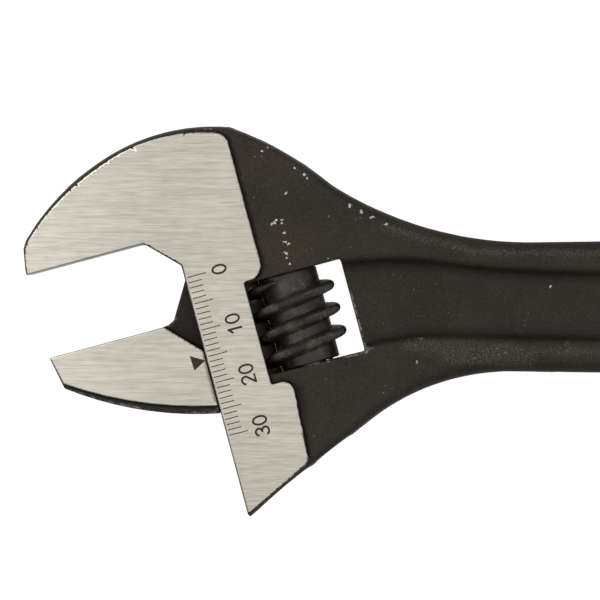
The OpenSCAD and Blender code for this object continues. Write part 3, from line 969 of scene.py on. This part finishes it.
def wormMaterial():
    look = wormLook
    material, tree, shader = newMaterial("blackened_worm")
    grain = useGroup(tree, "grain", Grain_Scale=2600.0, Blotch_Scale=300.0)
    tone = rangeOf(tree, grain.outputs["Tone"], 0.35, 0.65)
    place = addNode(tree, "ShaderNodeTexCoord").outputs["Object"]
    rubbed = rangeOf(tree, noise(tree, place, 900.0, 4.0, 0.65), 0.62, 0.72, 0.0, 0.5)
    thinned = rangeOf(tree, noise(tree, place, 330.0, 3.0, 0.6), 0.52, 0.66)
    blacked = blend(tree, thinned, blend(tree, tone, look["dark"], look["light"]), look["patch"])
    colour = blend(tree, rubbed, blacked, look["worn"])
    tree.links.new(colour, shader.inputs["Base Color"])
    tree.links.new(rubbed, shader.inputs["Metallic"])
    roughness = rangeOf(tree, grain.outputs["Tone"], 0.3, 0.7, look["rough"] - 0.06, look["rough"] + 0.1)
    tree.links.new(roughness, shader.inputs["Roughness"])
    shader.inputs["Specular IOR Level"].default_value = look["specular"]
    height = calc(tree, "MULTIPLY", grain.outputs["Height"], 0.00002)
    bump = addNode(tree, "ShaderNodeBump", {"Height": height, "Distance": 1.0, "Strength": 1.0})
    tree.links.new(bump.outputs["Normal"], shader.inputs["Normal"])
    return material


def plainSteel(name, look):
    material, tree, shader = newMaterial(name)
    grain = useGroup(tree, "grain", Grain_Scale=3200.0, Blotch_Scale=400.0)
    tone = rangeOf(tree, grain.outputs["Tone"], 0.35, 0.65)
    tree.links.new(blend(tree, tone, look["dark"], look["light"]), shader.inputs["Base Color"])
    roughness = rangeOf(tree, grain.outputs["Tone"], 0.3, 0.7, look["rough"] - 0.08, look["rough"] + 0.1)
    tree.links.new(roughness, shader.inputs["Roughness"])
    shader.inputs["Metallic"].default_value = 1.0
    height = calc(tree, "MULTIPLY", grain.outputs["Height"], 0.000008)
    bump = addNode(tree, "ShaderNodeBump", {"Height": height, "Distance": 1.0, "Strength": 1.0})
    tree.links.new(bump.outputs["Normal"], shader.inputs["Normal"])
    return material


def inkMaterial():
    # etched marks, their colour mottled by a fine grain
    material, tree, shader = newMaterial("etched_marks")
    grain = useGroup(tree, "grain", Grain_Scale=4200.0, Blotch_Scale=900.0)
    tone = rangeOf(tree, grain.outputs["Tone"], 0.35, 0.65)
    tree.links.new(blend(tree, tone, inkLook["dark"], inkLook["light"]), shader.inputs["Base Color"])
    tree.links.new(rangeOf(tree, tone, 0.0, 1.0, 0.6, 0.8), shader.inputs["Roughness"])
    shader.inputs["Specular IOR Level"].default_value = inkLook["specular"]
    return material


rubbedRims = [
    # lines along the handle's rims, in its axes, where the black has rubbed thin: from x, y to x, y, width
    (39, 1.6, 53, -1.9, 1.0), (55, -2.9, 205, -4.2, 0.9), (43, -20.3, 61, -21.2, 1.3),
    (61, -21.2, 205, -22.6, 1.0), (50, -22.6, 66, -23.4, 0.9),
]


def addRubbing(piece):
    mesh = piece.data
    points = np.empty(3 * len(mesh.vertices))
    mesh.vertices.foreach_get("co", points)
    points = points.reshape(-1, 3)
    origin = np.array(headOrigin)
    x, y = 1000 * (points[:, 0] - origin[0]), 1000 * (points[:, 1] - origin[1])
    amount = np.zeros(len(points))
    for ax, ay, bx, by, width in rubbedRims:
        amount += np.exp(-pathDistance(x, y, [(ax, ay), (bx, by)]) ** 2 / (2 * width * width))
    rub = mesh.attributes.new("rub", "FLOAT", "POINT")
    rub.data.foreach_set("value", np.clip(amount, 0, 1).astype(np.float32))


def paint(piece, material):
    piece.data.materials.clear()
    piece.data.materials.append(material)


body = makeBody()
addRubbing(body)
jaw = makeJaw()
worm = makeWorm()
pin = makePin()
spring = makeSpring()
makeScaleLines()
makeNumbers()
makeArrow()
print("pieces made", flush=True)

paint(body, forgedMaterial("blackened_forging", 1.0, facePlane=0.0, faceEnd=-5.9))
paint(jaw, forgedMaterial("blackened_jaw", 0.3, facePlane=-jawSize["opening"], faceEnd=-6.2))
paint(worm, wormMaterial())
paint(pin, plainSteel("pin_steel", pinLook))
paint(spring, plainSteel("spring_steel", shadedSpringLook))
ink = inkMaterial()
for piece in list(bpy.context.scene.objects):
    if piece.name.startswith(("scale_", "jaw_arrow")):
        paint(piece, ink)
print("materials made", flush=True)


stageLook = {
    "floorSize": 3.0,
    "floorGlow": 0.99,        # what the camera sees of the floor, before any light on it
    "floorMirrored": 0.35,    # how much of that shows in reflections
    "floorTone": 0.12,
    "gapRays": 64,            # rays that tell an open gap in the wrench from a narrow slit
    "gapDistance": 0.05, "gapOpen": 0.02,
    "underWindow": ((8, -10), (31, -10), (31, -32), (8, -32)),   # in the head's axes
    "zenith": 1.0, "horizon": 0.16, "zenithFrom": 0.8,
    "lampFrom": (-0.5, 0.6), "lampHeight": 0.55, "lampSize": 0.5, "lampPower": 2.0,
    "cameraLens": 300.0, "sensor": 36.0,
    "frameWidth": 0.11023,    # how much the camera sees across at the ground faces
    "aimX": 23.31, "aimY": -11.83,  # what it looks at, in millimetres in the handle's axes
}


def floorMaterial(name, shadesSlits):
    # pale paper that glows evenly; under the worm window its glow is cut to a painted shade in narrow slits,
    # where hardly any light comes through
    material, tree, shader = newMaterial(name)
    tone = stageLook["floorTone"]
    shader.inputs["Base Color"].default_value = (tone, tone, tone, 1)
    shader.inputs["Roughness"].default_value = 1.0
    shader.inputs["Specular IOR Level"].default_value = 0.0
    shader.inputs["Emission Color"].default_value = (1, 1, 1, 1)
    rays = addNode(tree, "ShaderNodeLightPath").outputs
    mirrored = calc(tree, "MULTIPLY", rays["Is Glossy Ray"], stageLook["floorMirrored"])
    seen = calc(tree, "MAXIMUM", rays["Is Camera Ray"], mirrored)
    glow = calc(tree, "MULTIPLY", seen, stageLook["floorGlow"])
    if shadesSlits:
        # painted shade: the glow fades where the floor sees almost no open sky
        sky = addNode(tree, "ShaderNodeAmbientOcclusion", {"Distance": stageLook["gapDistance"]},
                      samples=stageLook["gapRays"])
        glow = calc(tree, "MULTIPLY", glow, rangeOf(tree, sky.outputs["AO"], 0.0, stageLook["gapOpen"]))
    tree.links.new(glow, shader.inputs["Emission Strength"])
    return material


def makeFloor():
    # one sheet whose middle part lies under the worm window
    window = [headToFrame @ Vector((x, y, 0)) for x, y in stageLook["underWindow"]]
    half = stageLook["floorSize"] / 2
    xs = [-half, min(p.x for p in window), max(p.x for p in window), half]
    ys = [-half, min(p.y for p in window), max(p.y for p in window), half]
    form = bmesh.new()
    rows = [[form.verts.new((x, y, 0)) for x in xs] for y in ys]
    for i in range(3):
        for j in range(3):
            face = form.faces.new((rows[i][j], rows[i][j + 1], rows[i + 1][j + 1], rows[i + 1][j]))
            face.material_index = int(i == 1 and j == 1)
    mesh = bpy.data.meshes.new("floor")
    form.to_mesh(mesh)
    form.free()
    floor = bpy.data.objects.new("floor", mesh)
    bpy.context.scene.collection.objects.link(floor)
    mesh.materials.append(floorMaterial("pale_floor", False))
    mesh.materials.append(floorMaterial("pale_floor_with_painted_slit_shade", True))


def addAreaLight(name, place, target, size, power):
    data = bpy.data.lights.new(name, "AREA")
    data.shape = "DISK"
    data.size = size
    data.energy = power
    light = bpy.data.objects.new(name, data)
    light.location = place
    light.rotation_euler = (Vector(target) - Vector(place)).to_track_quat("-Z", "Y").to_euler()
    bpy.context.scene.collection.objects.link(light)


def makeLight():
    s = stageLook
    world = bpy.data.worlds.new("studio")
    world.use_nodes = True
    # brightest overhead, falling off to a dim horizon
    tree = world.node_tree
    direction = addNode(tree, "ShaderNodeTexCoord").outputs["Generated"]
    up = addNode(tree, "ShaderNodeSeparateXYZ", {"Vector": direction}).outputs["Z"]
    strength = rangeOf(tree, up, 0.0, s["zenithFrom"], s["horizon"], s["zenith"])
    tree.nodes["Background"].inputs["Color"].default_value = (1, 1, 1, 1)
    tree.links.new(strength, tree.nodes["Background"].inputs["Strength"])
    bpy.context.scene.world = world
    aim = headOrigin
    place = (aim.x + s["lampFrom"][0], aim.y + s["lampFrom"][1], s["lampHeight"])
    addAreaLight("window", place, aim, s["lampSize"], s["lampPower"])


def makeCamera():
    s = stageLook
    data = bpy.data.cameras.new("camera")
    data.lens = s["cameraLens"]
    data.sensor_width = s["sensor"]
    data.clip_start = 0.01
    data.clip_end = 20
    camera = bpy.data.objects.new("camera", data)
    away = s["frameWidth"] * s["cameraLens"] / s["sensor"]
    camera.location = (headOrigin.x + s["aimX"] / 1000, headOrigin.y + s["aimY"] / 1000, cadBox[1][2] + away)
    bpy.context.scene.collection.objects.link(camera)
    bpy.context.scene.camera = camera


makeFloor()
makeLight()
makeCamera()
bpy.context.scene.view_settings.view_transform = "Standard"
print("stage made", flush=True)
